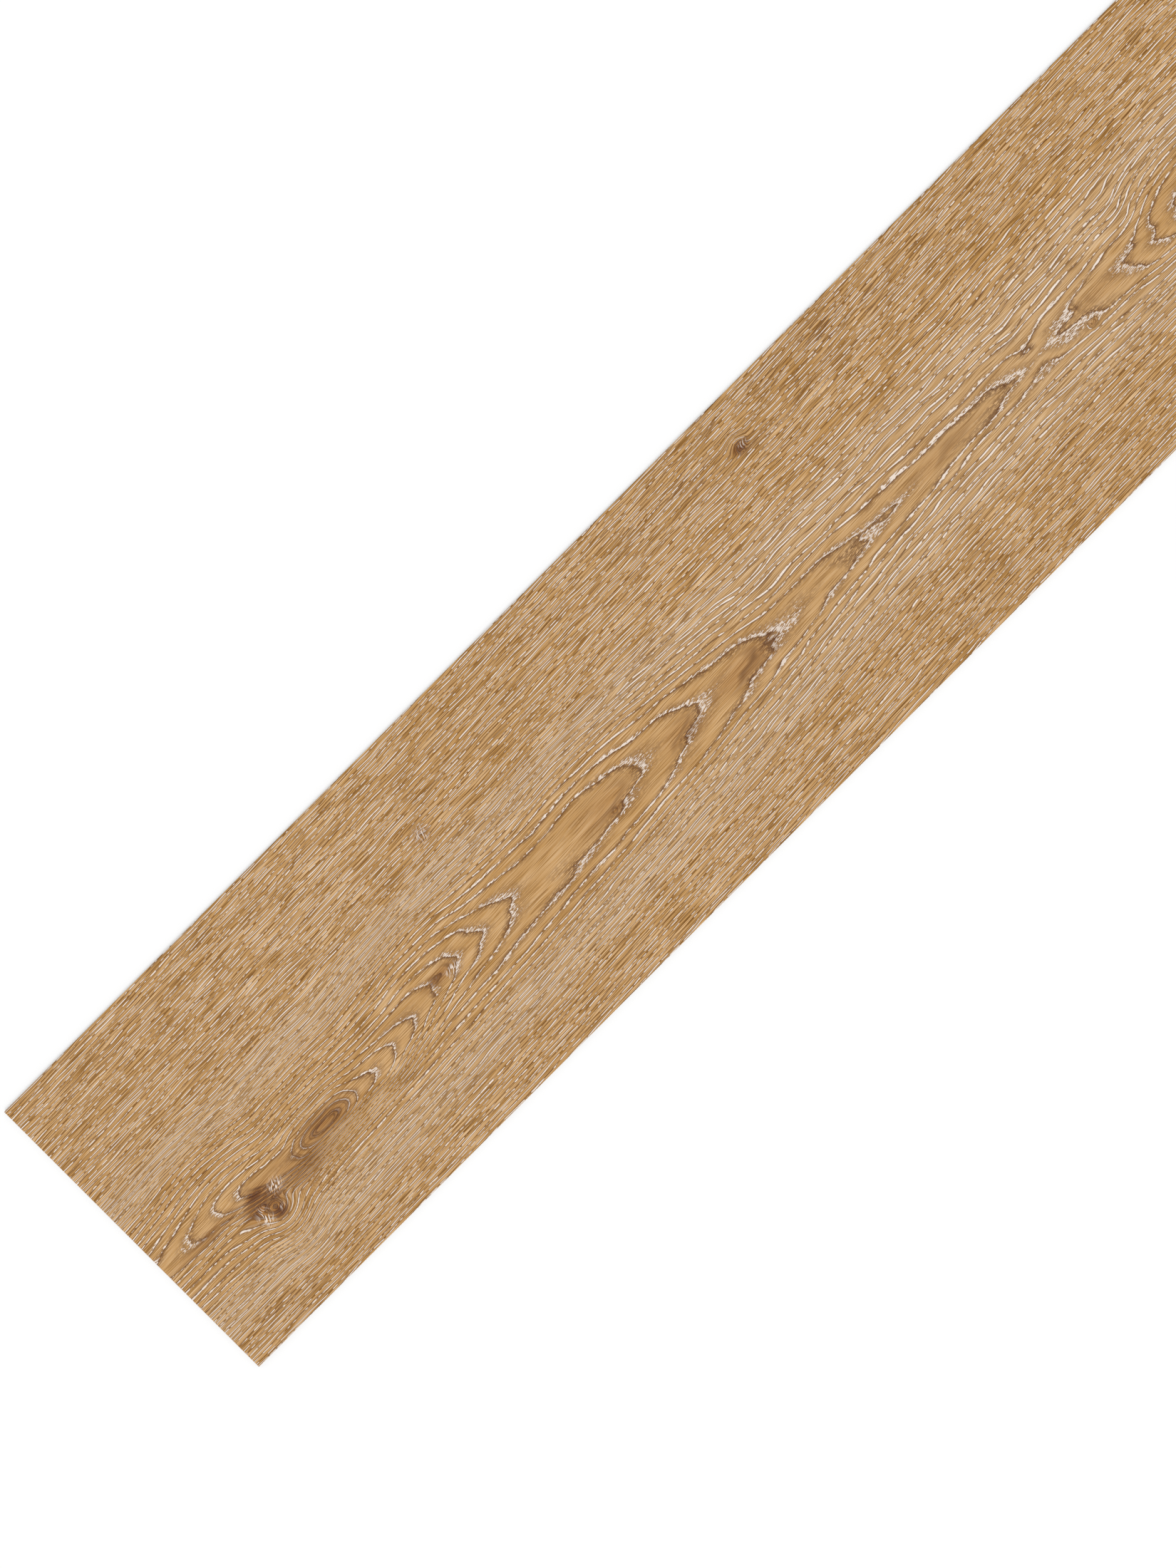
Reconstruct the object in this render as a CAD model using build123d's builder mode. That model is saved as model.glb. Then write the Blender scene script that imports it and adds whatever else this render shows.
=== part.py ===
from build123d import *
import os

# A glue-down vinyl floor plank with four straight-cut edges, lying on its back.
# X runs along the printed grain, Y across it and Z up out of the printed face.
# The origin is the middle of the back, where the plank meets the floor.

# Driving dimensions, in millimetres
plank_length = 1219.0  # sold as 48 in
plank_width = 184.0  # sold as 7 1/4 in
plank_thickness = 2.5  # wear layer, print film and filled core, pressed into one sheet
arris_radius = 0.4  # the die rolls the edge of the wear layer over as it cuts

# The die punches the outline out of a pressed sheet
with BuildPart() as plank:
    with BuildSketch() as die_outline:
        Rectangle(plank_length, plank_width)
    extrude(amount=plank_thickness)

    # Only the printed face has rolled arrises: the back keeps its sharp edges
    printed_face = plank.faces().sort_by(Axis.Z)[-1]
    fillet(printed_face.edges(), radius=arris_radius)

plank.part.label = "plank"

os.makedirs("parts", exist_ok=True)
export_step(plank.part, "parts/plank.step")
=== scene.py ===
# %% [markdown]
# # A limed-oak vinyl floor plank
# The real thing is one pressed sheet of vinyl, cut out by a die: a clear wear layer on top, a printed
# picture of limed oak under it, and a chalk-filled grey core that shows on the cut edges and the back.
# The wear layer is embossed in register with the print, so pores and growth rings can be felt where they
# can be seen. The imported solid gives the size. Everything below is about making that plain sheet look
# like oak.

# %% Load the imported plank
import bpy
import numpy as np
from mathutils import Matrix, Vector


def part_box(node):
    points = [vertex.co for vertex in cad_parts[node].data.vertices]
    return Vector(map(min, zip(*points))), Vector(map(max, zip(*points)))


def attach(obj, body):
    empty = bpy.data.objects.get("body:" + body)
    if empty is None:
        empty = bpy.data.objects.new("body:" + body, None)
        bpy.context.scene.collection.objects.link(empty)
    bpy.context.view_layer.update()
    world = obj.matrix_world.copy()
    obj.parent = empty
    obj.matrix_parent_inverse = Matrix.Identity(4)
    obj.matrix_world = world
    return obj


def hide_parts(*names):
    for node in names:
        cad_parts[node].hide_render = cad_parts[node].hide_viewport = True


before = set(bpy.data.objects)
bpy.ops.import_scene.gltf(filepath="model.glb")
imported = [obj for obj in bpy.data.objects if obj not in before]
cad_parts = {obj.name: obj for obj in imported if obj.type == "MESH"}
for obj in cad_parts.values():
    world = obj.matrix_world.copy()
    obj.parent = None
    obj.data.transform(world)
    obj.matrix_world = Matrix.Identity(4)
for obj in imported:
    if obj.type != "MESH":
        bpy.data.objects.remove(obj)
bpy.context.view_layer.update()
MM = 0.001
plank_low, plank_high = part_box("plank")
length, width, thickness = plank_high - plank_low
print("plank", [round(side / MM, 2) for side in (length, width, thickness)], "mm")

# %% [markdown]
# ## One helper for every node
# Both the surface and its finish are node trees. A tree written out by hand is long, so one small
# function adds a node of any kind, sets what it is told, and fills or links its inputs. It returns an
# output, ready for the next node. Most nodes below are of two kinds: Math, which takes its numbers in
# order, and Map Range, which takes a value, the two ends that it comes from and the two ends that it goes
# to.

# %% Add a node, colours, and places on the plank
def add(tree, kind, inputs=(), out=0, **settings):
    """A new node with its settings and inputs, as the output to go on from."""
    node = tree.nodes.new(kind)
    for name, value in settings.items():
        setattr(node, name, value)
    pairs = inputs.items() if isinstance(inputs, dict) else enumerate(inputs)
    for key, value in pairs:
        if isinstance(value, bpy.types.NodeSocket):
            tree.links.new(value, node.inputs[key])
        else:
            node.inputs[key].default_value = value
    return None if out is None else node.outputs[out]


def linear(hex_colour):
    """An sRGB hex colour as the linear RGBA that nodes work in."""
    levels = [int(hex_colour[i : i + 2], 16) / 255 for i in (1, 3, 5)]
    return (*[c / 12.92 if c <= 0.04045 else ((c + 0.055) / 1.055) ** 2.4 for c in levels], 1.0)


def on_face(along, across, depth=0.0):
    """Millimetres from the near end, the left edge and the printed face, as a point in metres."""
    return Vector((plank_low.x + along * MM, plank_high.y - across * MM, plank_high.z - depth * MM))


print("the near left corner is at", [round(c, 4) for c in on_face(0, 0)])

# %% [markdown]
# ## The sheet
# The top is a fine grid, because it carries relief. The die rolls its rim over in a small arc, then come
# the straight cut edge and the flat back. A subdivided cube would spend half its faces on the back, so
# the grid, the rim and the back are laid out one by one and share their edge points, which keeps the mesh
# closed.

# %% Lay out the grid, the rolled rim and the back
ARRIS = 0.4 * MM
ARRIS_STEPS = 3
COLUMNS, ROWS = 460, 196


def sheet_mesh():
    xs = np.linspace(-length / 2 + ARRIS, length / 2 - ARRIS, COLUMNS)
    ys = np.linspace(-width / 2 + ARRIS, width / 2 - ARRIS, ROWS)
    gx, gy = np.meshgrid(xs, ys)
    points = [np.stack([gx.ravel(), gy.ravel(), np.full(gx.size, thickness)], 1)]
    cell = (np.arange(ROWS - 1)[:, None] * COLUMNS + np.arange(COLUMNS - 1)).ravel()
    faces = np.stack([cell, cell + 1, cell + COLUMNS + 1, cell + COLUMNS], 1).tolist()

    # The rim runs anticlockwise round the grid, each point knowing which way is out
    south = np.arange(COLUMNS)
    east = np.arange(1, ROWS) * COLUMNS + COLUMNS - 1
    north = (ROWS - 1) * COLUMNS + np.arange(COLUMNS - 2, -1, -1)
    west = np.arange(ROWS - 2, 0, -1) * COLUMNS
    rim = np.concatenate([south, east, north, west])
    edge = points[0][rim]
    outwards = np.sign(edge[:, :2]) * np.isclose(np.abs(edge[:, :2]), [xs[-1], ys[-1]])
    turns = np.linspace(0, np.pi / 2, ARRIS_STEPS + 1)[1:]
    steps = [(np.sin(a) * ARRIS, thickness - (1 - np.cos(a)) * ARRIS) for a in turns] + [(ARRIS, 0.0)]
    loops = [rim]
    for out, height in steps:
        loops.append(sum(len(p) for p in points) + np.arange(len(rim)))
        points.append(np.column_stack([edge[:, :2] + outwards * out, np.full(len(rim), height)]))
    for upper, lower in zip(loops, loops[1:]):
        faces += np.stack([upper, lower, np.roll(lower, -1), np.roll(upper, -1)], 1).tolist()

    # The back: a strip across the plank for each column, and one face at each end
    back = loops[-1]
    near, far = back[:COLUMNS], back[COLUMNS + ROWS - 2 : 2 * COLUMNS + ROWS - 2][::-1]
    for i in range(1, COLUMNS - 2):
        faces.append([near[i], far[i], far[i + 1], near[i + 1]])
    faces.append([near[0], *back[: -ROWS + 1 : -1], far[0], far[1], near[1]])
    faces.append([near[-2], far[-2], *back[COLUMNS - 1 : COLUMNS + ROWS - 1][::-1]])

    mesh = bpy.data.meshes.new("vinyl_plank")
    mesh.from_pydata(np.concatenate(points).tolist(), [], faces)
    mesh.validate()
    # 1 on the open grid, where the press may push the surface down, and 0 on the rim, edges and back
    pressed = np.zeros(len(mesh.vertices))
    pressed[: gx.size] = 1
    pressed[rim] = 0
    mesh.attributes.new("pressed", "FLOAT", "POINT").data.foreach_set("value", pressed)
    return mesh


plank = bpy.data.objects.new("vinyl_plank", sheet_mesh())
bpy.context.scene.collection.objects.link(plank)
print("sheet:", len(plank.data.polygons), "faces")

# %% [markdown]
# ## The log behind the picture
# The film was printed from a photograph of a real board, and a board is a flat slice through a log.
# Growth rings are sleeves round the log's pith. Where the pith runs level with the slice, its rings show
# as long straight lines, and where it rises or dives they close into arches. So nobody has to draw the
# arches: one bent pith line under the face is enough, and the ring at any place follows from how far it
# lies from the pith.

# %% Bend the pith line under the face
# Millimetres along the plank, across it, and down below the printed face
PITH = [
    (-29, 115.7, 18.9), (0, 115.4, 17.1), (22, 114.3, 15.3), (39, 113.2, 13.0), (53.5, 114.6, 10.3),
    (66, 116.8, 8.9), (77, 119.0, 8.5), (89.5, 120.1, 7.6), (100, 120.1, 3.3), (112, 120.1, 0.7),
    (124, 119.7, 3.6), (133, 119.4, 7.7), (151, 119.0, 10.3), (164, 116.8, 13.0), (176.5, 114.3, 14.9),
    (186, 111.7, 16.2), (204, 108.8, 18.6), (215, 107.4, 20.0), (236.5, 106.6, 23.4), (260, 105.5, 26.1),
    (290, 104.8, 27.0), (324, 103.0, 26.9), (358, 103.0, 28.7), (398.5, 103.4, 31.3), (426, 104.1, 32.5),
    (457, 105.9, 33.9), (484, 103.4, 34.8), (536, 102.6, 35.9), (582, 100.4, 36.8), (629, 99.7, 37.5),
    (646, 99.0, 38.3), (662, 98.6, 37.5), (688, 97.9, 36.8), (707, 98.3, 35.9), (732.5, 100.1, 33.9),
    (750, 97.5, 31.3), (771.5, 96.8, 29.8), (819, 97.5, 31.3), (881, 95.3, 33.9), (953, 93.9, 35.9),
    (1037, 95.3, 34.6), (1110, 96.8, 32.8), (1165, 95.3, 34.6), (1250, 93.9, 35.9),
]
# Each year's wood evens the bends out, so the outer rings follow a straighter line
TRUNK = [
    (-60, 118, 24), (50, 117, 22), (200, 113, 24), (330, 108, 27), (600, 98, 37),
    (760, 92.5, 32), (900, 90, 33), (1280, 87, 35),
]
# The trunk's places are far apart, so its curve needs more steps between them
PITH_STEPS, TRUNK_STEPS = 8, 40
lines = {}
for name, places, steps in (("pith", PITH, PITH_STEPS), ("trunk", TRUNK, TRUNK_STEPS)):
    bend = bpy.data.curves.new(name, "CURVE")
    bend.dimensions = "3D"
    bend.resolution_u = steps
    spline = bend.splines.new("BEZIER")
    spline.bezier_points.add(len(places) - 1)
    for point, place in zip(spline.bezier_points, places):
        point.co = on_face(*place)
        point.handle_left_type = point.handle_right_type = "AUTO"
    lines[name] = bpy.data.objects.new(name, bend)
    bpy.context.scene.collection.objects.link(lines[name])
print("pith line through", len(PITH), "places, nearest the face at", min(p[2] for p in PITH), "mm")

# %% [markdown]
# ## Saw the log
# A Geometry Nodes tree measures every point of the sheet against the pith and keeps seven numbers on it
# for the print to read: its ring, its place across the grain, how flat the ring is cut there, and how
# strong each of four kinds of mark is. The sizes that make one log differ from another are the tree's
# inputs, so that another board only takes other numbers.

# %% Open the tree and name its sizes
LOG_SIZES = {
    "Pith line": ("NodeSocketObject", lines["pith"]),
    "Trunk line": ("NodeSocketObject", lines["trunk"]),
    "First ring, mm": ("NodeSocketFloat", 3.8),
    "Broad ring, mm": ("NodeSocketFloat", 2.62),
    "Narrow ring, mm": ("NodeSocketFloat", 1.55),
    "Late ring, mm": ("NodeSocketFloat", 1.75),
    "Narrow beyond, mm": ("NodeSocketFloat", 35.0),
    "Late beyond, mm": ("NodeSocketFloat", 54.0),
    "Ring groove, mm": ("NodeSocketFloat", 0.10),
    "Brushed wave, mm": ("NodeSocketFloat", 0.08),
    "Seed": ("NodeSocketFloat", 4.0),
}
log = bpy.data.node_groups.new("sawn_log", "GeometryNodeTree")
log.interface.new_socket("Sheet", in_out="INPUT", socket_type="NodeSocketGeometry")
log.interface.new_socket("Plank", in_out="OUTPUT", socket_type="NodeSocketGeometry")
socket_ids = {}
for name, (kind, _) in LOG_SIZES.items():
    socket_ids[name] = log.interface.new_socket(name, in_out="INPUT", socket_type=kind).identifier
given = add(log, "NodeGroupInput").node.outputs
print("sawn log takes", ", ".join(LOG_SIZES))

# %% [markdown]
# A point's ring follows from its distance to the pith. Close to the pith that is the bent line, and
# further out the straighter one. The tree grew more on its upper side, so the bends reach further there
# than below, and a soft step across the pith tells the two sides apart.

# %% Measure how far each point is from the pith
SIDE_STEP = 4 * MM
# Below the pith, then above it
BENDS_REACH = (3 * MM, 18 * MM)
STRAIGHT_FROM = (20 * MM, 60 * MM)
position = add(log, "GeometryNodeInputPosition")
nearest = {}
for name in ("Pith line", "Trunk line"):
    wire = add(log, "GeometryNodeObjectInfo", {"Object": given[name]}, "Geometry")
    wire = add(log, "GeometryNodeCurveToMesh", {"Curve": wire})
    nearest[name] = add(log, "GeometryNodeProximity", [wire], "Distance", target_element="EDGES")
to_pith = nearest["Pith line"]
inner = add(log, "ShaderNodeMath", [to_pith, 1 / MM], operation="MULTIPLY")
outer = add(log, "ShaderNodeMath", [nearest["Trunk line"], 1 / MM], operation="MULTIPLY")
point_xyz = add(log, "ShaderNodeSeparateXYZ", [position]).node.outputs
pith_xyz = add(log, "ShaderNodeSeparateXYZ", [to_pith.node.outputs["Position"]]).node.outputs
beside = add(log, "ShaderNodeMath", [point_xyz[1], pith_xyz[1]], operation="SUBTRACT")
aside = add(log, "ShaderNodeMath", [beside], operation="ABSOLUTE")
side = add(log, "ShaderNodeMapRange", [beside, -SIDE_STEP, SIDE_STEP, -1, 1])
bends_to = add(log, "ShaderNodeMapRange", [side, -1, 1, *BENDS_REACH])
even_from = add(log, "ShaderNodeMapRange", [side, -1, 1, *STRAIGHT_FROM])
evened = [aside, bends_to, even_from, 0, 1]
evened = add(log, "ShaderNodeMapRange", evened, interpolation_type="SMOOTHSTEP")
trunk = add(log, "ShaderNodeMix", {0: evened, 2: inner, 3: outer})
print("distance to the pith:", len(log.nodes), "nodes")

# %% [markdown]
# A knot is a branch leaving the trunk. Its own rings start afresh round it, and a smooth minimum lets the
# trunk's rings flow round them as they do in wood. As far as a knot shortens the distance to the pith, so
# far is the grain pushed away from the pith, on both sides of it.

# %% Lead the rings and the grain round the knots
# Along, across and the trunk radius at which the branch begins, in millimetres, how much closer than the
# trunk's its rings lie, the blend in millimetres, and how many times longer than wide the knot is cut
KNOTS = [
    (64, 132, 14.5, 1.15, 5, 1.25),
    (60, 130, 19, 1.02, 8, 3.0),
    (206, 108, 17, 1.6, 3, 1.25),
    (251, 50, 63, 2, 3, 1.25),
    (330, 112, 27, 1.3, 3.6, 1.25),
    (506, 26, 78, 1.5, 4, 1.25),
    (678, 108, 35, 1.2, 2.2, 1.25),
    (905, 128, 43, 1.3, 4, 1.25),
    (1090, 60, 39, 1.4, 4, 1.25),
]
radius = trunk
for along, across, begins, closer_by, blend, longer in KNOTS:
    off = add(log, "ShaderNodeVectorMath", [position, on_face(along, across)], operation="SUBTRACT")
    scale = Vector((1 / longer, 1, 0)) * closer_by / MM
    off = add(log, "ShaderNodeVectorMath", [off, scale], operation="MULTIPLY")
    off = add(log, "ShaderNodeVectorMath", [off], "Value", operation="LENGTH")
    branch = add(log, "ShaderNodeMath", [off, begins], operation="ADD")
    radius = add(log, "ShaderNodeMath", [radius, branch, blend], operation="SMOOTH_MIN")
along_mm = add(log, "ShaderNodeMath", [point_xyz[0], 1 / MM], operation="MULTIPLY")
across_mm = add(log, "ShaderNodeMath", [point_xyz[1], 1 / MM], operation="MULTIPLY")
pushed = add(log, "ShaderNodeMath", [radius, trunk], operation="SUBTRACT")
grain = add(log, "ShaderNodeMath", [side, pushed, across_mm], operation="MULTIPLY_ADD")
print("led round", len(KNOTS), "knots")

# %% [markdown]
# The ring count is the distance divided by the width of a ring. The tree grew fast at first and slowly
# later on, so the width changes at two distances, softly. A slow noise makes the count wander, which
# keeps the rings from being perfect.

# %% Count the rings
# Length and width of the wander in millimetres, its size in rings, and the noise levels that it spans
WANDER_LONG, WANDER_WIDE, WANDER_RINGS = 34, 7, 0.2
WANDER_SPAN = (0.25, 0.75)
# Widths before and after each change, where it happens, and how soft it is in millimetres
CHANGES = [("Broad", "Narrow", "Narrow beyond, mm"), ("Narrow", "Late", "Late beyond, mm")]
CHANGE_BLEND = 2
fibre = add(log, "ShaderNodeCombineXYZ", [along_mm, grain, 0])
slow = [fibre, (1 / WANDER_LONG, 1 / WANDER_WIDE, 0)]
slow = add(log, "ShaderNodeVectorMath", slow, operation="MULTIPLY")
wander = {"Vector": slow, "W": given["Seed"], "Scale": 1, "Detail": 2}
wander = add(log, "ShaderNodeTexNoise", wander, noise_dimensions="4D")
wander = add(log, "ShaderNodeMapRange", [wander, *WANDER_SPAN, -WANDER_RINGS, WANDER_RINGS])
ring = add(log, "ShaderNodeMath", [radius, given["First ring, mm"]], operation="SUBTRACT")
ring = add(log, "ShaderNodeMath", [ring, given["Broad ring, mm"]], operation="DIVIDE")
for before, after, change in CHANGES:
    beyond = add(log, "ShaderNodeMath", [radius, given[change]], operation="SUBTRACT")
    beyond = add(log, "ShaderNodeMath", [beyond, 0, CHANGE_BLEND], operation="SMOOTH_MAX")
    rates = []
    for era in (after, before):
        rates.append(add(log, "ShaderNodeMath", [1, given[f"{era} ring, mm"]], operation="DIVIDE"))
    closer = add(log, "ShaderNodeMath", rates, operation="SUBTRACT")
    ring = add(log, "ShaderNodeMath", [beyond, closer, ring], operation="MULTIPLY_ADD")
ring = add(log, "ShaderNodeMath", [ring, wander], operation="ADD")
print("ring count: the width changes", len(CHANGES), "times")

# %% [markdown]
# Some marks don't follow the rings: dark stains, the crackle round a knot, the hatching of rays that
# cross the fibres, and slanting tears where the grain runs out of the face. Here they are only soft ovals
# that say where, and the print says what. Where ovals of one kind overlap, the strongest wins.

# %% Place the marks
# Along, across, half length and half width in millimetres, and how strong
OVALS = {
    "stain": [
        (64.5, 135, 6, 5, 1), (60, 121, 9, 4, 1), (62, 126, 17, 11, 0.75), (112, 119.5, 28, 9, 0.5),
        (110, 119, 7, 1.6, 0.85), (86, 126, 26, 13, 0.4), (34, 119.5, 34, 4, 0.4), (207, 108, 12, 4, 0.6),
        (328, 107, 24, 9, 0.3), (331, 111.5, 8, 3.5, 0.5), (384, 108, 18, 8, 0.35), (430, 107, 28, 8, 0.45),
        (506, 26, 6, 4, 1), (251, 50, 6, 5, 0.4), (576, 101, 30, 5, 0.25), (692, 98.5, 26, 5, 0.2),
        (678, 108, 4, 2.5, 0.5), (905, 128, 12, 7, 0.8), (1090, 60, 11, 6, 0.7),
    ],
    "crackle": [
        (71.5, 124, 4.5, 4, 1), (56.5, 132.5, 3.5, 6, 1), (67, 134.5, 1.6, 1.4, 0.8),
        (214, 110.5, 6, 3, 0.9), (251, 50, 4, 5, 0.8), (508, 25, 2.5, 2, 0.7), (905, 127, 8, 5, 0.9),
        (1088, 60, 6, 4, 0.8),
    ],
    "hatch": [(104, 108, 10, 4.5, 0.8), (96, 142, 26, 11, 0.6), (36, 18, 60, 22, 0.25)],
    "slant": [
        (537, 16, 200, 24, 1), (380, 68, 40, 12, 0.7), (30, 172, 34, 10, 0.8), (539, 160, 34, 20, 0.9),
        (1120, 30, 140, 30, 0.8),
    ],
}
# Full strength up to the first share of the half sizes, nothing from the second on
OVAL_FADE = (0.2, 1.3)
marks = {}
for name, ovals in OVALS.items():
    for along, across, half_length, half_width, strength in ovals:
        off = add(log, "ShaderNodeVectorMath", [position, on_face(along, across)], operation="SUBTRACT")
        scale = (1 / (half_length * MM), 1 / (half_width * MM), 0)
        off = add(log, "ShaderNodeVectorMath", [off, scale], operation="MULTIPLY")
        off = add(log, "ShaderNodeVectorMath", [off], "Value", operation="LENGTH")
        oval = [off, *OVAL_FADE, strength, 0]
        oval = add(log, "ShaderNodeMapRange", oval, interpolation_type="SMOOTHSTEP")
        marks[name] = add(log, "ShaderNodeMath", [marks.get(name, 0), oval], operation="MAXIMUM")
print("marks:", {name: len(ovals) for name, ovals in OVALS.items()})

# %% [markdown]
# ## Press the relief
# The embossing plate is made to match the print. Where a ring is cut nearly flat, its groove is a tenth of
# a millimetre deep, and shallow brushed waves run along the fibres everywhere. Few rings in a millimetre
# mean a flat cut, and because the mesh is a grid, the next point and the point in the next row tell how
# fast the rings change. Geometry carries this relief, so that it catches the light from every side.

# %% Press the rings into the face
# Rings in a millimetre where a cut begins to be flat, and where it is wholly flat
FLAT_CUT = (0.28, 0.06)
# Half the groove in shares of a ring, from its floor to its rim
GROOVE = (0.04, 0.3)
# Length and width of a brushed wave in millimetres, and the noise levels that it spans
WAVE_LONG, WAVE_WIDE, WAVE_SPAN = 60, 5, (0.3, 0.7)
column_gap = (length - 2 * ARRIS) / (COLUMNS - 1)
row_gap = (width - 2 * ARRIS) / (ROWS - 1)
index = add(log, "GeometryNodeInputIndex")
slopes = []
for step, gap in ((1, column_gap), (COLUMNS, row_gap)):
    onward = add(log, "ShaderNodeMath", [index, step], operation="ADD")
    onward = add(log, "GeometryNodeFieldAtIndex", {"Index": onward, "Value": ring})
    onward = add(log, "ShaderNodeMath", [onward, ring], operation="SUBTRACT")
    slopes.append(add(log, "ShaderNodeMath", [onward, MM / gap], operation="MULTIPLY"))
rings_per_mm = add(log, "ShaderNodeCombineXYZ", slopes)
rings_per_mm = add(log, "ShaderNodeVectorMath", [rings_per_mm], "Value", operation="LENGTH")
flatness = [rings_per_mm, *FLAT_CUT, 0, 1]
flatness = add(log, "ShaderNodeMapRange", flatness, interpolation_type="SMOOTHSTEP")

phase = add(log, "ShaderNodeMath", [ring], operation="FRACT")
phase = add(log, "ShaderNodeMath", [phase, 0.5], operation="SUBTRACT")
phase = add(log, "ShaderNodeMath", [phase], operation="ABSOLUTE")
groove = add(log, "ShaderNodeMapRange", [phase, *GROOVE, 1, 0], interpolation_type="SMOOTHSTEP")
groove = add(log, "ShaderNodeMath", [groove, flatness], operation="MULTIPLY")
groove = add(log, "ShaderNodeMath", [groove, given["Ring groove, mm"]], operation="MULTIPLY")
brushed = [fibre, (1 / WAVE_LONG, 1 / WAVE_WIDE, 0)]
brushed = add(log, "ShaderNodeVectorMath", brushed, operation="MULTIPLY")
wave = {"Vector": brushed, "W": given["Seed"], "Scale": 1, "Detail": 1}
wave = add(log, "ShaderNodeTexNoise", wave, noise_dimensions="4D")
wave = add(log, "ShaderNodeMapRange", [wave, *WAVE_SPAN, 0, 1])
sink = add(log, "ShaderNodeMath", [wave, given["Brushed wave, mm"], groove], operation="MULTIPLY_ADD")
pressed = add(log, "GeometryNodeInputNamedAttribute", {"Name": "pressed"})
sink = add(log, "ShaderNodeMath", [sink, pressed], operation="MULTIPLY")
sink = add(log, "ShaderNodeMath", [sink, -MM], operation="MULTIPLY")
offset = add(log, "ShaderNodeCombineXYZ", [0, 0, sink])
print("sawn log:", len(log.nodes), "nodes so far")

# %% [markdown]
# ## The limed-oak print
# Limed oak is brushed, then rubbed with white paste that stays in the open pores. Oak's pores lie in
# bands at the start of each year's growth, so the white follows the rings, broken up along the fibres
# into dashes. Beside each white dash a dark line is painted as the shade of the embossed groove, and
# between the bands it is smooth brown with faint fibres. A painted picture would blur close up, so the
# print is worked out from the numbers that the tree leaves on the points.

# %% Read the points and sway the fibres
# To the eye: warm brown wood under a dull clear skin, with chalky white lines that never shine
oak = bpy.data.materials.new("limed_oak_film_under_pressed_matt_wear_layer")
oak.use_nodes = True
film = oak.node_tree
film.nodes.clear()
film_ring = add(film, "ShaderNodeAttribute", out="Fac", attribute_name="ring")
film_grain = add(film, "ShaderNodeAttribute", out="Fac", attribute_name="grain")
flat = add(film, "ShaderNodeAttribute", out="Fac", attribute_name="flat")
stained = add(film, "ShaderNodeAttribute", out="Fac", attribute_name="stain")
crackle = add(film, "ShaderNodeAttribute", out="Fac", attribute_name="crackle")
hatch = add(film, "ShaderNodeAttribute", out="Fac", attribute_name="hatch")
slant = add(film, "ShaderNodeAttribute", out="Fac", attribute_name="slant")
face_place = add(film, "ShaderNodeTexCoord", out="Object")
face_along = add(film, "ShaderNodeSeparateXYZ", [face_place])
face_along = add(film, "ShaderNodeMath", [face_along, 1 / MM], operation="MULTIPLY")
fibre_place = add(film, "ShaderNodeCombineXYZ", [face_along, film_grain, 0])

# No fibre is straight: over a few centimetres it sways by half a millimetre, and its ring with it. The
# rings of the arches sway less than those further out
SWAY_LONG, SWAY_WIDE, SWAY_MM = 30, 6, 2
SWAY_BETWEEN, SWAY_RINGS = (8, 16), (0.15, 1.0)
sway = {"Vector": fibre_place, "Scale": (1 / SWAY_LONG, 1 / SWAY_WIDE, 1)}
sway = add(film, "ShaderNodeMapping", sway)
sway = add(film, "ShaderNodeTexNoise", {"Vector": sway, "Scale": 1, "Detail": 1}, noise_dimensions="2D")
less = add(film, "ShaderNodeMapRange", [film_ring, *SWAY_BETWEEN, *SWAY_RINGS])
ring_sway = add(film, "ShaderNodeMath", [sway, 0.5], operation="SUBTRACT")
ring_sway = add(film, "ShaderNodeMath", [ring_sway, less, film_ring], operation="MULTIPLY_ADD")
grain_sway = add(film, "ShaderNodeMath", [sway, SWAY_MM, film_grain], operation="MULTIPLY_ADD")
swayed = add(film, "ShaderNodeCombineXYZ", [face_along, grain_sway, 0])
print("print:", len(film.nodes), "nodes to place the fibres")

# %% [markdown]
# Streaks of several sizes give the wood its fibres, its broad tones and its flecks. Each is a noise that
# is stretched along the grain. A real fibre is a fiftieth of a millimetre wide, too fine to show, so the
# streaks are drawn as coarse as bundles of fibres.

# %% Draw the streaks
# Length, width and slope of a typical streak in millimetres and degrees, then octaves
STREAKS = {
    "fibre": (22, 0.4, 2, 1),
    "tone": (120, 8, 0, 1),
    "fleck": (2.8, 0.5, 3, 1),
    "slanting": (36, 0.5, 9, 1),
    "crack": (2.8, 0.55, 54, 0),
}
streak = {}
for name, (long, wide, slope, octaves) in STREAKS.items():
    turned = {"Vector": swayed, "Rotation": (0, 0, np.radians(-slope))}
    turned = add(film, "ShaderNodeMapping", turned, vector_type="POINT")
    drawn = add(film, "ShaderNodeVectorMath", [turned, (1 / long, 1 / wide, 1)], operation="MULTIPLY")
    drawn = {"Vector": drawn, "Scale": 1, "Detail": octaves}
    streak[name] = add(film, "ShaderNodeTexNoise", drawn, noise_dimensions="2D")
print("streaks:", ", ".join(STREAKS))

# %% [markdown]
# Each year starts with a zone of wide pores and ends in dense wood, so a pore zone has a sharp inner side
# and thins out away from the pith. Sawn steeply it shows as a line, and sawn flat it spreads into a
# ragged flame. Just before it lies the dark seam that ended the year before, drawn sharp so that it is
# also painted shade of the relief along the zone. All of this is told by one number: how far into its
# year a place lies.

# %% Find the pore zone of each year
# The rings of the arches are even, and further out some years start early and some late
ARCHES_END = (11, 17)
YEAR_START, UNEVEN_STARTS = 0.4, 0.5
# Shares of a year: the pore zone in the third ring and in the eighteenth, and what a flat cut adds to it
ZONE_BETWEEN, ZONE_SHARE, FLAT_SHARE = (3, 18), (0.11, 0.2), 0.16
# The edge of the zone is this sharp, and painted shade of the relief darkens the wood this far before and
# after it
ZONE_EDGE = 0.03
FLANK_BEFORE, FLANK_AFTER = (-0.26, -0.04), 0.2
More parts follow.
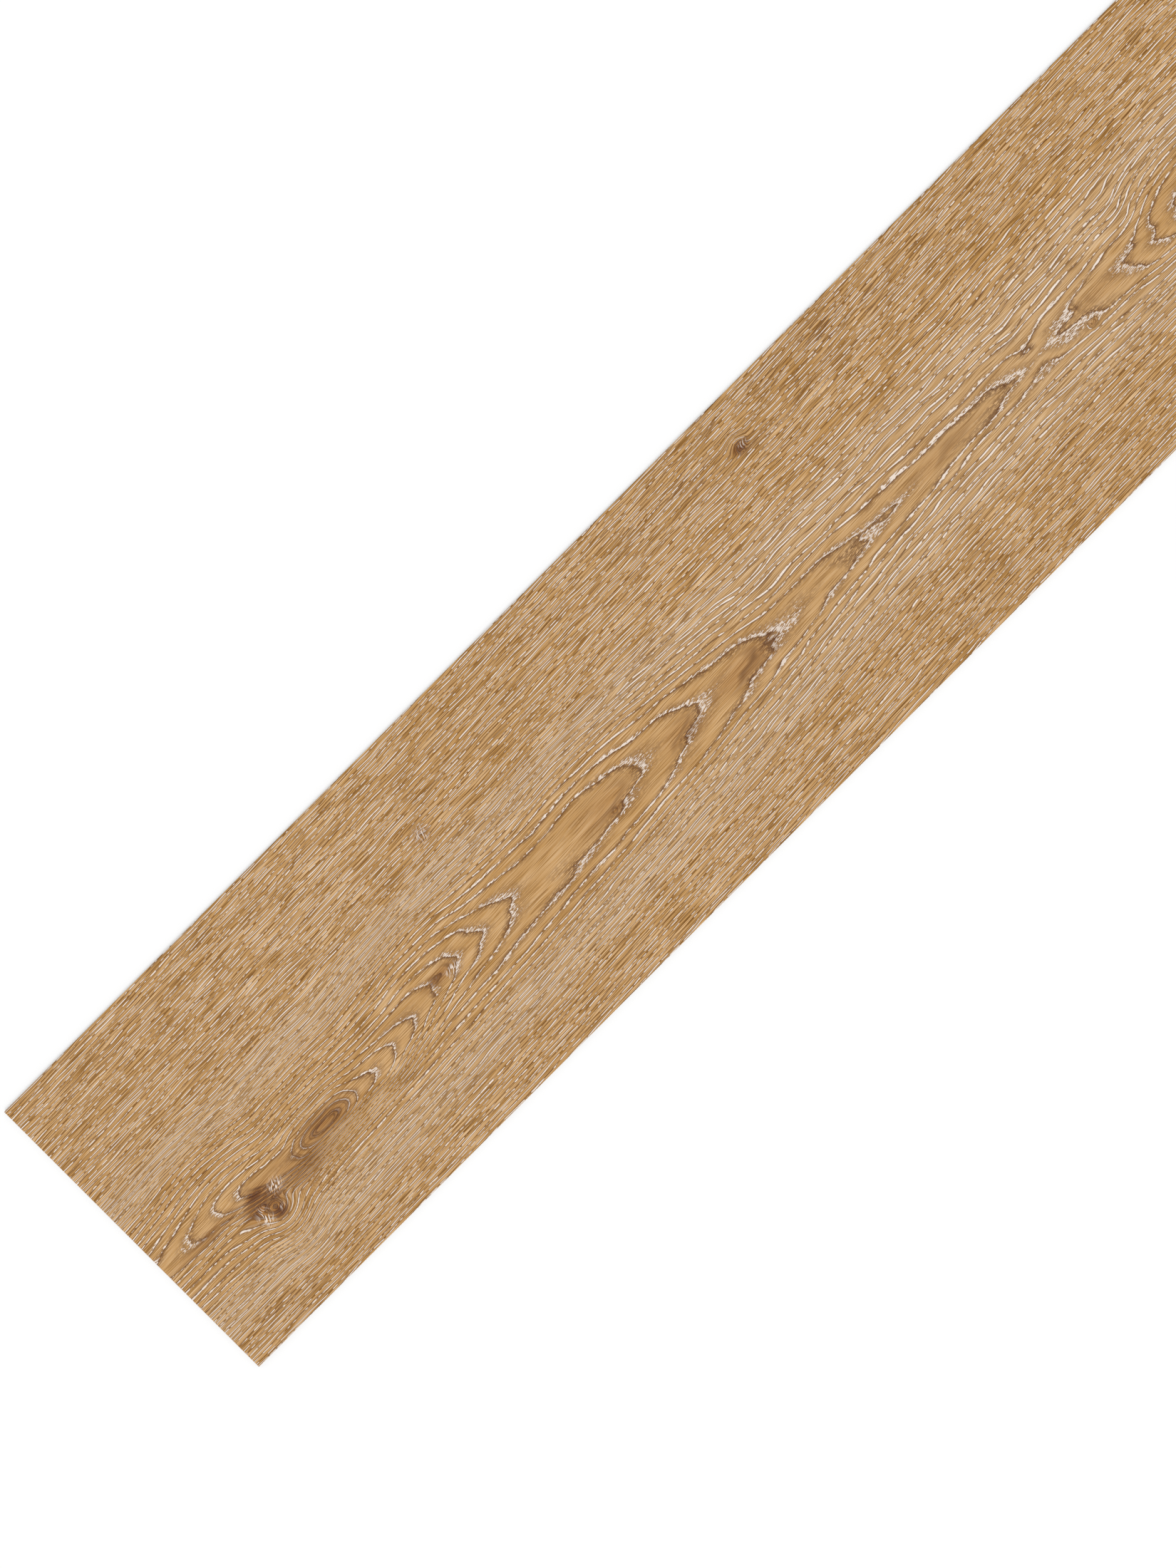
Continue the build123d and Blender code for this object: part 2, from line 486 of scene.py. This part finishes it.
# The seam, dense wood that is also painted shade of the relief, begins this far before the zone, where a
# ring is cut steeply and where it is cut flat
SEAM_AND_SHADE_FROM, SEAM_AND_SHADE_END = (-0.22, -0.055), -0.02
ring_number = add(film, "ShaderNodeMath", [ring_sway], operation="FLOOR")
year_part = add(film, "ShaderNodeMath", [ring_sway], operation="FRACT")
year = add(film, "ShaderNodeTexWhiteNoise", {"W": ring_number}, noise_dimensions="1D")
uneven = add(film, "ShaderNodeMapRange", [film_ring, *ARCHES_END, 0, UNEVEN_STARTS])
late = add(film, "ShaderNodeMath", [year, 0.5], operation="SUBTRACT")
zone_start = add(film, "ShaderNodeMath", [late, uneven, YEAR_START], operation="MULTIPLY_ADD")
since = add(film, "ShaderNodeMath", [year_part, zone_start], operation="SUBTRACT")
share = add(film, "ShaderNodeMapRange", [film_ring, *ZONE_BETWEEN, *ZONE_SHARE])
share = add(film, "ShaderNodeMath", [flat, FLAT_SHARE, share], operation="MULTIPLY_ADD")
flank_end = add(film, "ShaderNodeMath", [share, FLANK_AFTER], operation="ADD")
rise = add(film, "ShaderNodeMapRange", [since, -ZONE_EDGE, ZONE_EDGE, 0, 1])
fall = add(film, "ShaderNodeMapRange", [since, ZONE_EDGE, share, 1, 0])
zone = add(film, "ShaderNodeMath", [rise, fall], operation="MULTIPLY")
# The band round the pore zone where painted shade of the relief darkens the wood
flank_in = add(film, "ShaderNodeMapRange", [since, *FLANK_BEFORE, 0, 1])
flank_out = add(film, "ShaderNodeMapRange", [since, 0, flank_end, 1, 0])
painted_shade_band = add(film, "ShaderNodeMath", [flank_in, flank_out], operation="MULTIPLY")
# The dark seam is dense wood, drawn sharp so that it also paints the shade of the relief beside the pore
# zone
seam_and_shade_from = add(film, "ShaderNodeMapRange", [flat, 0, 1, *SEAM_AND_SHADE_FROM])
seam_and_shade_in = add(film, "ShaderNodeMapRange", [since, seam_and_shade_from, SEAM_AND_SHADE_END, 0, 1])
seam_and_shade_out = add(film, "ShaderNodeMapRange", [since, SEAM_AND_SHADE_END, ZONE_EDGE, 1, 0])
seam_and_shade = add(film, "ShaderNodeMath", [seam_and_shade_in, seam_and_shade_out], operation="MULTIPLY")
print("pore zones take", ZONE_SHARE, "of a year, and up to", FLAT_SHARE, "more on a flat cut")

# %% [markdown]
# Along a line the pores come and go. A noise that only changes along the fibres, and starts anew in every
# ring, cuts the line into dashes. They taper, because the noise has to win against the thinning of the
# zone. On a flat cut the single pores show instead, as short flecks.

# %% Cut the pore zones into dashes
# Dash length in millimetres, octaves, and a number that sets the layers apart
DASHES = {"pore": (5.2, 1, 0.37), "row": (40, 0, 0.71), "check": (14, 1, 0.53)}
# Noise cells between the lanes of two rings, so that each ring has dashes of its own
LANES_APART = 7
# How much the long rows count beside the pores
ROW_PART = 0.3
# How much single pores count beside the dashes, in the arches and further out
SINGLE_PORES = (0.5, 0.2)
lane = add(film, "ShaderNodeCombineXYZ", [face_along, ring_number, 0])
dashes = {}
for name, (long, octaves, apart) in DASHES.items():
    drawn = {"Vector": lane, "Location": (100 * apart, 10 * apart, 0)}
    drawn["Scale"] = (1 / long, LANES_APART + apart, 1)
    drawn = add(film, "ShaderNodeMapping", drawn)
    drawn = {"Vector": drawn, "Scale": 1, "Detail": octaves}
    dashes[name] = add(film, "ShaderNodeTexNoise", drawn, noise_dimensions="2D")
single = add(film, "ShaderNodeMapRange", [film_ring, *ARCHES_END, *SINGLE_PORES])
single = add(film, "ShaderNodeMath", [single, flat], operation="MAXIMUM")
pores = add(film, "ShaderNodeMix", {0: ROW_PART, 2: dashes["pore"], 3: dashes["row"]})
pores = add(film, "ShaderNodeMix", {0: single, 2: pores, 3: streak["fleck"]})
print("dashes:", {name: long for name, (long, *_) in DASHES.items()}, "mm long")

# %% [markdown]
# The paste is rubbed over the whole board and wiped off again, so it stays only where a pore is open.
# Halfway out from the pith this wood took most of it. Stained wood takes little, and on a flat cut the
# pores are shallow and hold less.

# %% Fill the pores with lime
# The ring that took most lime, over how many rings that fades, and by how much its pores open sooner
PALEST_RING, PALE_FADE, PALE_OPENS = 18, (2, 8), -0.03
# The noise level at which a pore opens, in the sixth ring and in the sixteenth, and the step to wide open
OPENS_BETWEEN, CLOSED, OPENING = (6, 16), (0.425, 0.442), 0.035
# How much the edge of a zone holds the noise back, on a steep cut and on a flat one
THINNING = (0.06, 0.34)
# The share of lime that a year of narrow or wide pores, stained wood and a flat cut take
WIDE_YEARS = (0.88, 1)
STAIN_SPAN, STAINED_TAKES, SHALLOW_TAKES = (0.15, 0.5), 0.08, 0.82
# Lime ends softly at the edge of a zone
ZONE_FADE = 0.2
pale = add(film, "ShaderNodeMath", [film_ring, PALEST_RING], operation="SUBTRACT")
pale = add(film, "ShaderNodeMath", [pale], operation="ABSOLUTE")
pale = add(film, "ShaderNodeMapRange", [pale, *PALE_FADE, 1, 0], interpolation_type="SMOOTHSTEP")
closed = add(film, "ShaderNodeMapRange", [film_ring, *OPENS_BETWEEN, *CLOSED])
closed = add(film, "ShaderNodeMath", [pale, PALE_OPENS, closed], operation="MULTIPLY_ADD")
open_at = add(film, "ShaderNodeMath", [closed, OPENING], operation="ADD")
filled = add(film, "ShaderNodeMapRange", [pores, closed, open_at, 0, 1], interpolation_type="SMOOTHSTEP")
thinning = add(film, "ShaderNodeMapRange", [flat, 0, 1, *THINNING])
thinned = add(film, "ShaderNodeMath", [zone, 1], operation="SUBTRACT")
thinned = add(film, "ShaderNodeMath", [thinned, thinning, pores], operation="MULTIPLY_ADD")
limed = add(film, "ShaderNodeMapRange", [thinned, closed, open_at, 0, 1], interpolation_type="SMOOTHSTEP")
in_zone = add(film, "ShaderNodeMapRange", [zone, 0, ZONE_FADE, 0, 1])
limed = add(film, "ShaderNodeMath", [limed, in_zone], operation="MULTIPLY")
# Some years opened wider pores than others
wide_year = add(film, "ShaderNodeMapRange", [year, 0, 1, *WIDE_YEARS])
limed = add(film, "ShaderNodeMath", [limed, wide_year], operation="MULTIPLY")
takes = add(film, "ShaderNodeMapRange", [stained, *STAIN_SPAN, 1, STAINED_TAKES])
shallow = add(film, "ShaderNodeMapRange", [flat, 0, 1, 1, SHALLOW_TAKES])
takes = add(film, "ShaderNodeMath", [takes, shallow], operation="MULTIPLY")
limed = add(film, "ShaderNodeMath", [limed, takes], operation="MULTIPLY")
print("print:", len(film.nodes), "nodes with the lime")

# %% [markdown]
# Dark parts come from several causes, and where they meet the darkest wins: the dense wood that ends a
# year, which is also drawn as painted shade of the relief, pores that took no lime, painted shade of the
# relief beside the lime, the fine rings of a stain, fibres that the brush tore out, and the charred-looking
# heart of a knot.

# %% Darken the wood
# How dark each cause can get
EMPTY_PORES, PAINTED_SHADE_BESIDE_LIME, BRUSHED_OUT, CHARRED = 0.6, 0.8, 0.4, 0.6
# Fine rings in each ring of a stain, and the part of their wave that shows
FINE_RINGS, FINE_SPAN, FINE_DARK = 2, (0.2, 1), 1.3
# The levels between which a dark check, a torn fibre and a charred heart come out
CHECK_SPAN, CHECK_DARK = (0.36, 0.52), (0.5, 1)
BRUSHED_SPAN, CHARRED_SPAN = (0.39, 0.33), (0.75, 1)
check = add(film, "ShaderNodeMapRange", [dashes["check"], *CHECK_SPAN, *CHECK_DARK])
seam_and_shade = add(film, "ShaderNodeMath", [seam_and_shade, check], operation="MULTIPLY")
empty = add(film, "ShaderNodeMath", [zone, check], operation="MULTIPLY")
empty = add(film, "ShaderNodeMath", [empty, EMPTY_PORES], operation="MULTIPLY")
seam_and_shade = add(film, "ShaderNodeMath", [seam_and_shade, empty], operation="MAXIMUM")
# Painted shade: a dark line along each white dash stands in for the shade of the embossed groove
painted_shade_beside_lime = add(film, "ShaderNodeMath", [painted_shade_band, filled], operation="MULTIPLY")
painted_shade_beside_lime = add(film, "ShaderNodeMath", [painted_shade_beside_lime, PAINTED_SHADE_BESIDE_LIME], operation="MULTIPLY")
fine_ring = add(film, "ShaderNodeMath", [ring_sway, 2 * np.pi * FINE_RINGS], operation="MULTIPLY")
fine_ring = add(film, "ShaderNodeMath", [fine_ring], operation="SINE")
fine_ring = add(film, "ShaderNodeMapRange", [fine_ring, *FINE_SPAN, 0, FINE_DARK])
burnt = add(film, "ShaderNodeMath", [fine_ring, stained], operation="MULTIPLY")
brushed_out = add(film, "ShaderNodeMapRange", [streak["fibre"], *BRUSHED_SPAN, 0, BRUSHED_OUT])
charred = add(film, "ShaderNodeMapRange", [stained, *CHARRED_SPAN, 0, CHARRED])
dark = seam_and_shade
for cause in (painted_shade_beside_lime, burnt, brushed_out, charred):
    dark = add(film, "ShaderNodeMath", [dark, cause], operation="MAXIMUM")
print("print:", len(film.nodes), "nodes with the dark wood")

# %% [markdown]
# Last come the marks that the tree placed. Rays are a dark comb across the fibres, a tear is a dark
# streak that runs askew, and round a knot the lime sits in short cracks that cross the fibres.

# %% Add rays, tears and cracks
# Millimetres from one ray to the next, how far the comb leans, and how dark it and a tear can be
HATCH_PITCH, HATCH_LEAN, HATCH_DARK = 1.8, 0.5, 0.7
TEAR_DARK = 0.7
# The levels between which a ray, a tear and a crack stand out of their noise
HATCH_SPAN, TEAR_SPAN, CRACK_SPAN = (0.1, 0.6), (0.585, 0.64), (0.54, 0.62)
comb = add(film, "ShaderNodeMath", [film_grain, HATCH_LEAN, face_along], operation="MULTIPLY_ADD")
comb = add(film, "ShaderNodeMath", [comb, 2 * np.pi / HATCH_PITCH], operation="MULTIPLY")
comb = add(film, "ShaderNodeMath", [comb], operation="SINE")
comb = add(film, "ShaderNodeMath", [comb, streak["fleck"]], operation="MULTIPLY")
comb = add(film, "ShaderNodeMapRange", [comb, *HATCH_SPAN, 0, HATCH_DARK])
comb = add(film, "ShaderNodeMath", [comb, hatch], operation="MULTIPLY")
dark = add(film, "ShaderNodeMath", [dark, comb], operation="MAXIMUM")
tear = add(film, "ShaderNodeMapRange", [streak["slanting"], *TEAR_SPAN, 0, TEAR_DARK])
tear = add(film, "ShaderNodeMath", [tear, slant], operation="MULTIPLY")
dark = add(film, "ShaderNodeMath", [dark, tear], operation="MAXIMUM")
crack = [streak["crack"], *CRACK_SPAN, 0, 1]
crack = add(film, "ShaderNodeMapRange", crack, interpolation_type="SMOOTHSTEP")
crack = add(film, "ShaderNodeMath", [crack, crackle], operation="MULTIPLY")
limed = add(film, "ShaderNodeMath", [limed, crack], operation="MAXIMUM")
print("print:", len(film.nodes), "nodes with the marks")

# %% [markdown]
# The colours are those of oak under a white wash, put on in the order in which they lie: wood, broad
# tones, the pale veil of the wash, dark lines, stains, then the lime. A matt polyurethane coat covers the
# film: refractive index about 1.5, and rough enough that a lamp shows in it only as a faint sheen. Its
# matting powder breaks up part of the reflection, so the specular level is lower than a clear coat's. The
# pore zones sink a little into it.

# %% Colour the film and coat it
# A flat cut shows fewer fibres: how far they give way to one even tone, and which
FLAT_SMOOTH, SMOOTH_FIBRE = 0.6, 0.7
# How far each layer can cover the wood
TONE_PART, VEIL_PART, DARK_PART = 0.34, 0.2, 0.97
# The noise levels between which the fibres and the broad tones run from dark to light
FIBRE_SPAN, TONE_SPAN = (0.34, 0.66), (0.3, 0.7)
PORE_DEPTH = 0.1 * MM
fibres = add(film, "ShaderNodeMapRange", [streak["fibre"], *FIBRE_SPAN, 0, 1])
smooth = add(film, "ShaderNodeMath", [flat, FLAT_SMOOTH], operation="MULTIPLY")
fibres = add(film, "ShaderNodeMix", {0: smooth, 2: fibres, 3: SMOOTH_FIBRE})
wood = add(film, "ShaderNodeValToRGB", [fibres])
oak_colours = wood.node.color_ramp
oak_colours.elements[0].color = linear("#A5742C")
oak_colours.elements[1].color = linear("#E8C293")
oak_colours.elements.new(0.5).color = linear("#C8985A")
toned = add(film, "ShaderNodeMapRange", [streak["tone"], *TONE_SPAN, 0, TONE_PART])
wood = add(film, "ShaderNodeMix", {0: toned, 6: wood, 7: linear("#AE7C36")}, 2, data_type="RGBA")
veil = add(film, "ShaderNodeMath", [pale, VEIL_PART], operation="MULTIPLY")
wood = add(film, "ShaderNodeMix", {0: veil, 6: wood, 7: linear("#DDC29E")}, 2, data_type="RGBA")
dark_part = add(film, "ShaderNodeMath", [dark, DARK_PART], operation="MULTIPLY")
wood = add(film, "ShaderNodeMix", {0: dark_part, 6: wood, 7: linear("#552800")}, 2, data_type="RGBA")
stains = {0: stained, 6: wood, 7: linear("#BE9A46")}
wood = add(film, "ShaderNodeMix", stains, 2, data_type="RGBA", blend_type="MULTIPLY")
wood = add(film, "ShaderNodeMix", {0: limed, 6: wood, 7: linear("#FFF0E2")}, 2, data_type="RGBA")
sunk = add(film, "ShaderNodeBump", {"Strength": 1, "Distance": PORE_DEPTH, "Height": zone}, invert=True)
coat = {"Base Color": wood, "Roughness": 0.55, "IOR": 1.5, "Specular IOR Level": 0.3, "Normal": sunk}
coat = add(film, "ShaderNodeBsdfPrincipled", coat)
add(film, "ShaderNodeOutputMaterial", [coat], out=None)
print("print:", len(film.nodes), "nodes")

# %% [markdown]
# ## The core
# Under the film is vinyl filled with ground chalk, rolled into a sheet and cut clean by the die. The back
# carries a fine pebbled emboss that gives the glue a key. It is too fine for geometry, so it is a bump.

# %% Mix the chalk-filled core
# To the eye: warm grey and dull, with a faint speckle of chalk
PEBBLE = 1.6 * MM
PEBBLE_DEPTH = 0.1 * MM
SPECKLE = 3 * MM
core = bpy.data.materials.new("chalk_filled_vinyl_calendered_and_die_cut")
core.use_nodes = True
sheet = core.node_tree
sheet.nodes.clear()
core_place = add(sheet, "ShaderNodeTexCoord", out="Object")
pebble = add(sheet, "ShaderNodeTexVoronoi", {"Vector": core_place, "Scale": 1 / PEBBLE})
speckle = add(sheet, "ShaderNodeTexNoise", {"Vector": core_place, "Scale": 1 / SPECKLE, "Detail": 3})
grey = {0: speckle, 6: linear("#918C84"), 7: linear("#A8A39B")}
grey = add(sheet, "ShaderNodeMix", grey, 2, data_type="RGBA")
keyed = add(sheet, "ShaderNodeBump", {"Strength": 0.5, "Distance": PEBBLE_DEPTH, "Height": pebble})
chalky = {"Base Color": grey, "Roughness": 0.7, "IOR": 1.52, "Normal": keyed}
chalky = add(sheet, "ShaderNodeBsdfPrincipled", chalky)
add(sheet, "ShaderNodeOutputMaterial", [chalky], out=None)
print("core:", len(sheet.nodes), "nodes")

# %% [markdown]
# ## Press the plank
# The last nodes of the tree keep the seven numbers on the points, sink the face and give each side its
# material. The sizes go in by the sockets' own identifiers, and then the result is made a plain mesh: the
# modifier and the two lines have done their work.

# %% Finish the tree and make the mesh plain
# The film reaches down the rolled arris to where a face looks up no more than this
FILM_LOOKS_UP = 0.2
shape = given["Sheet"]
for name, value in {"ring": ring, "grain": grain, "flat": flatness, **marks}.items():
    shape = add(log, "GeometryNodeStoreNamedAttribute", {0: shape, "Name": name, 3: value})
shape = add(log, "GeometryNodeSetPosition", {"Geometry": shape, "Offset": offset})
facing = add(log, "ShaderNodeSeparateXYZ", [add(log, "GeometryNodeInputNormal")], "Z")
printed = add(log, "FunctionNodeCompare", [facing, FILM_LOOKS_UP], operation="GREATER_THAN")
shape = add(log, "GeometryNodeSetShadeSmooth", [shape, printed])
shape = add(log, "GeometryNodeRealizeInstances", [shape])
shape = add(log, "GeometryNodeSetMaterial", {"Geometry": shape, "Material": core})
shape = add(log, "GeometryNodeSetMaterial", {"Geometry": shape, "Selection": printed, "Material": oak})
add(log, "NodeGroupOutput", [shape], out=None)
press = plank.modifiers.new("sawn_log", "NODES")
press.node_group = log
for name, (_, value) in LOG_SIZES.items():
    press[socket_ids[name]] = value
graph = bpy.context.evaluated_depsgraph_get()
seen = plank.evaluated_get(graph)
pressed_mesh = bpy.data.meshes.new_from_object(seen, preserve_all_data_layers=True, depsgraph=graph)
plank.modifiers.clear()
plank.data = pressed_mesh
for line in lines.values():
    bpy.data.objects.remove(line)
heights = np.array([v.co.z for v in pressed_mesh.vertices])
deepest = thickness - heights[: COLUMNS * ROWS].min()
print("pressed:", len(pressed_mesh.polygons), "faces, deepest", round(deepest / MM, 3), "mm")
print("materials:", [m.name for m in pressed_mesh.materials])

# %% [markdown]
# ## Unwrap the plank
# The finish is worked out from places on the plank, but other programs want it as a picture laid on a UV
# map. An automatic unwrap would turn the long face askew. Here each side is laid out flat by its own two
# directions, and the printed face gets most of the square.

# %% Lay the six sides out on one square
# Each side: the way it faces, its corner and size on the square, and whether it runs backwards
SIDES = {
    "back": ((0, 0, -1), (0.001, 0.065), (0.998, 0.065), True),
    "right edge": ((0, -1, 0), (0.001, 0.002), (0.998, 0.012), False),
    "left edge": ((0, 1, 0), (0.001, 0.018), (0.998, 0.012), True),
    "near end": ((-1, 0, 0), (0.001, 0.034), (0.49, 0.012), True),
    "far end": ((1, 0, 0), (0.51, 0.034), (0.488, 0.012), False),
    "printed face": ((0, 0, 1), (0.001, 0.14), (0.998, 0.858), False),
}
STRAIGHT_ON = 0.9
corner_point = np.empty(len(pressed_mesh.loops), dtype=int)
pressed_mesh.loops.foreach_get("vertex_index", corner_point)
point_place = np.empty(len(pressed_mesh.vertices) * 3)
pressed_mesh.vertices.foreach_get("co", point_place)
face_normal = np.empty(len(pressed_mesh.polygons) * 3)
pressed_mesh.polygons.foreach_get("normal", face_normal)
face_corners = np.empty(len(pressed_mesh.polygons), dtype=int)
pressed_mesh.polygons.foreach_get("loop_total", face_corners)
corner_place = point_place.reshape(-1, 3)[corner_point] - np.array(plank_low)
corner_place = corner_place / (length, width, thickness)
corner_normal = np.repeat(face_normal.reshape(-1, 3), face_corners, axis=0)
laid = np.zeros((len(corner_point), 2))
for name, (faces_way, corner, size, backwards) in SIDES.items():
    limit = FILM_LOOKS_UP if name == "printed face" else STRAIGHT_ON
    here = corner_normal @ faces_way > limit
    run_axis = 1 if faces_way[0] else 0
    up_axis = 1 if faces_way[2] else 2
    run = corner_place[here, run_axis]
    run = 1 - run if backwards else run
    laid[here] = np.array(corner) + np.array(size) * np.column_stack([run, corner_place[here, up_axis]])
uv_map = pressed_mesh.uv_layers.new(name="OFBake")
uv_map.data.foreach_set("uv", laid.ravel())
print("unwrapped", len(SIDES), "sides, spread", laid.min(0).round(3), "to", laid.max(0).round(3))

# %% [markdown]
# ## Floor, light and camera
# The picture is taken like a catalogue picture: straight down, in even light, on white. The paper glows a
# little for the camera, so that it stays white under a soft shadow. Seen from below it is clear, so that
# the back of the plank can be looked at, and it is hidden from the diffuse rays that leave the plank, so
# that the back isn't left in the dark.

# %% Lay the floor
FLOOR_HALF = 12.0
# A hair below the back, so that the two surfaces never share one place
FLOOR_DOWN = -0.2 * MM
scene = bpy.context.scene
scene.view_settings.view_transform = "Standard"
floor_mesh = bpy.data.meshes.new("studio_floor")
ways = [(-1, -1), (1, -1), (1, 1), (-1, 1)]
floor_corners = [(x * FLOOR_HALF, y * FLOOR_HALF, FLOOR_DOWN) for x, y in ways]
floor_mesh.from_pydata(floor_corners, [], [(0, 1, 2, 3)])
floor = bpy.data.objects.new("studio_floor", floor_mesh)
scene.collection.objects.link(floor)
paper = bpy.data.materials.new("white_studio_paper")
paper.use_nodes = True
roll = paper.node_tree
roll.nodes.clear()
matt = add(roll, "ShaderNodeBsdfDiffuse", {"Color": (0.8, 0.8, 0.8, 1)})
seen_by = add(roll, "ShaderNodeLightPath").node.outputs
glow = add(roll, "ShaderNodeEmission", {"Color": (1, 1, 1, 1), "Strength": 0.28})
glowing = add(roll, "ShaderNodeAddShader", [matt, glow])
plainly = [seen_by["Is Camera Ray"], seen_by["Is Glossy Ray"]]
plainly = add(roll, "ShaderNodeMath", plainly, operation="MAXIMUM")
plainly = add(roll, "ShaderNodeMath", [plainly, seen_by["Is Transmission Ray"]], operation="MAXIMUM")
from_above = add(roll, "ShaderNodeMixShader", [plainly, matt, glowing])
clear = add(roll, "ShaderNodeBsdfTransparent")
from_below = add(roll, "ShaderNodeNewGeometry", out="Backfacing")
seen_paper = add(roll, "ShaderNodeMixShader", [from_below, from_above, clear])
add(roll, "ShaderNodeOutputMaterial", [seen_paper], out=None)
floor_mesh.materials.append(paper)
floor.visible_diffuse = False
print("floor:", 2 * FLOOR_HALF, "m wide,", round(-FLOOR_DOWN / MM, 2), "mm below the back")

# %% [markdown]
# An even white sky does most of the lighting. One broad, weak sun from the side lets the relief throw its
# small shadows. The camera sees the sky as plain white, however strongly it lights the plank.

# %% Light the studio
LAMP_AIM = (0.5, 0.35, -1)
world = bpy.data.worlds.new("studio")
scene.world = world
world.use_nodes = True
air = world.node_tree
air.nodes.clear()
paths = add(air, "ShaderNodeLightPath").node.outputs
plain = add(air, "ShaderNodeMath", [paths["Is Camera Ray"], paths["Is Glossy Ray"]], operation="MAXIMUM")
plain = add(air, "ShaderNodeMath", [plain, paths["Is Transmission Ray"]], operation="MAXIMUM")
ambient = add(air, "ShaderNodeBackground", {"Color": (1, 1, 1, 1), "Strength": 0.57})
white_wall = add(air, "ShaderNodeBackground", {"Color": (1, 1, 1, 1), "Strength": 1})
sky = add(air, "ShaderNodeMixShader", [plain, ambient, white_wall])
add(air, "ShaderNodeOutputWorld", [sky], out=None)
lamp_data = bpy.data.lights.new("soft_box", "SUN")
lamp_data.energy = 1.3
lamp_data.angle = 0.6
lamp = bpy.data.objects.new("soft_box", lamp_data)
lamp.rotation_euler = Vector(LAMP_AIM).to_track_quat("-Z", "Y").to_euler()
scene.collection.objects.link(lamp)
print("sun", round(lamp_data.energy, 2), "over", round(float(np.degrees(lamp_data.angle))), "degrees")

# %% [markdown]
# The camera hangs square above the face, far away behind a long lens, so that both long edges stay
# parallel. It is turned by 45 degrees, and the far end of the plank runs out of the picture. The width of
# the plank in pixels gives the size of one pixel, and so the height of the camera.

# %% Look straight down
PICTURE_HEIGHT_PX = 2200
PLANK_WIDTH_PX = 505.6
# Millimetres from the near end and the left edge to the middle of the picture
PICTURE_MIDDLE = (329.3, 92.4)
CAMERA_TURN = -45
pixel = width / PLANK_WIDTH_PX
camera_data = bpy.data.cameras.new("catalogue")
camera_data.sensor_width = 36
camera_data.lens = 100
camera = bpy.data.objects.new("catalogue", camera_data)
away = PICTURE_HEIGHT_PX * pixel * camera_data.lens / camera_data.sensor_width
camera.location = on_face(*PICTURE_MIDDLE, -away / MM)
camera.rotation_euler = (0, 0, np.radians(CAMERA_TURN))
scene.collection.objects.link(camera)
scene.camera = camera
print("camera", round(away, 3), "m above the face")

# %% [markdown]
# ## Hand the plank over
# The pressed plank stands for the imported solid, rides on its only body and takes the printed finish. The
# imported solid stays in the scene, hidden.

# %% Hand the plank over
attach(plank, "root")
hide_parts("plank")
